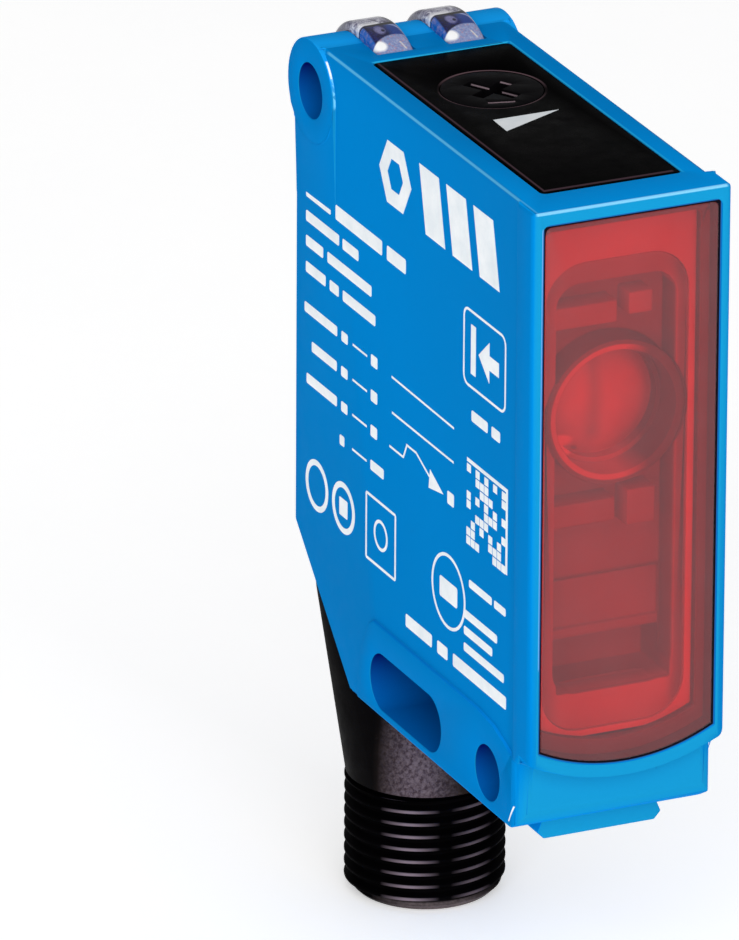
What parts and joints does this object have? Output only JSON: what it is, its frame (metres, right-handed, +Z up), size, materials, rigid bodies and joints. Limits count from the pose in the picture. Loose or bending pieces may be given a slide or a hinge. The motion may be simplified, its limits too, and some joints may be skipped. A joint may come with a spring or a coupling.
{
  "type": "photoelectric sensor",
  "caption": "Flat box-shaped photoelectric receiver with a tall front window, a sensitivity adjuster on its top panel, indicator light guides and a swivelling M12 plug.",
  "frame": {"origin": "centre of the upper mounting hole, at the middle of the housing's width", "axes": "+X along the upper mounting hole, across the width; -Y towards the optical side with the window; +Z up, away from the connector"},
  "size_m": [0.0156, 0.0424, 0.0674],
  "materials": {
    "housing_blue": "satin",
    "window_red": "gloss",
    "gasket_black": "matte",
    "panel_black": "gloss",
    "bush_grey": "matte",
    "guide_clear": "gloss",
    "led_green": "gloss",
    "led_yellow": "gloss",
    "frame_pale": "matte",
    "carrier_plastic": "matte",
    "lens_clear": "gloss",
    "ring_black": "matte",
    "diode_dark": "gloss",
    "board_green": "satin",
    "chip_black": "matte",
    "capacitor_tan": "satin",
    "shield_tin": "satin",
    "flex_amber": "satin",
    "trimmer_white": "satin",
    "screw_steel": "satin",
    "elbow_black": "matte",
    "barrel_black": "satin",
    "contact_gold": "polished",
    "lead_brown": "satin",
    "seal_black": "matte",
    "spring_steel": "satin"
  },
  "bodies": {
    "root": {"housing": "housing_blue", "front_window": "window_red", "window_gasket": "gasket_black", "control_panel_cover": "panel_black", "panel_gasket": "gasket_black", "adjuster_bush": "bush_grey", "led_light_guide_left": "guide_clear", "led_light_guide_right": "guide_clear", "green_led": "led_green", "yellow_led": "led_yellow", "light_frame": "frame_pale", "optics_carrier": "carrier_plastic", "receiver_lens": "lens_clear", "lens_retaining_ring": "ring_black", "aperture_plate": "ring_black", "photodiode": "diode_dark", "receiver_board": "board_green", "main_board": "board_green", "indicator_board": "board_green", "connector_board": "board_green", "board_header": "chip_black", "flex_link": "flex_amber", "shield_can": "shield_tin", "amplifier_chip": "chip_black", "logic_chip": "chip_black", "output_driver_chip": "chip_black", "capacitors": "capacitor_tan", "protection_diodes": "chip_black", "trimmer_body": "trimmer_white", "board_screws": "screw_steel"},
    "connector_swivel": {"connector_elbow": "elbow_black", "threaded_barrel": "barrel_black", "contact_carrier": "chip_black", "contact_pins": "contact_gold", "connector_leads": "lead_brown", "swivel_o_ring": "seal_black", "swivel_retaining_ring": "spring_steel"},
    "sensitivity_knob_body": {"sensitivity_knob": "panel_black", "knob_o_ring": "seal_black", "trimmer_rotor": "trimmer_white"}
  },
  "joints": [
    {"name": "connector_swivel_joint", "type": "hinge", "parent": "root", "child": "connector_swivel", "pos_m": [0, -0.00165, -0.03935], "axis": [0, 0.7071, -0.7071], "range_deg": [0, 180]},
    {"name": "sensitivity_adjust", "type": "hinge", "parent": "root", "child": "sensitivity_knob_body", "pos_m": [0.0002, -0.0141, 0.00372], "axis": [0, 0, 1], "range_deg": [-135, 135]}
  ]
}
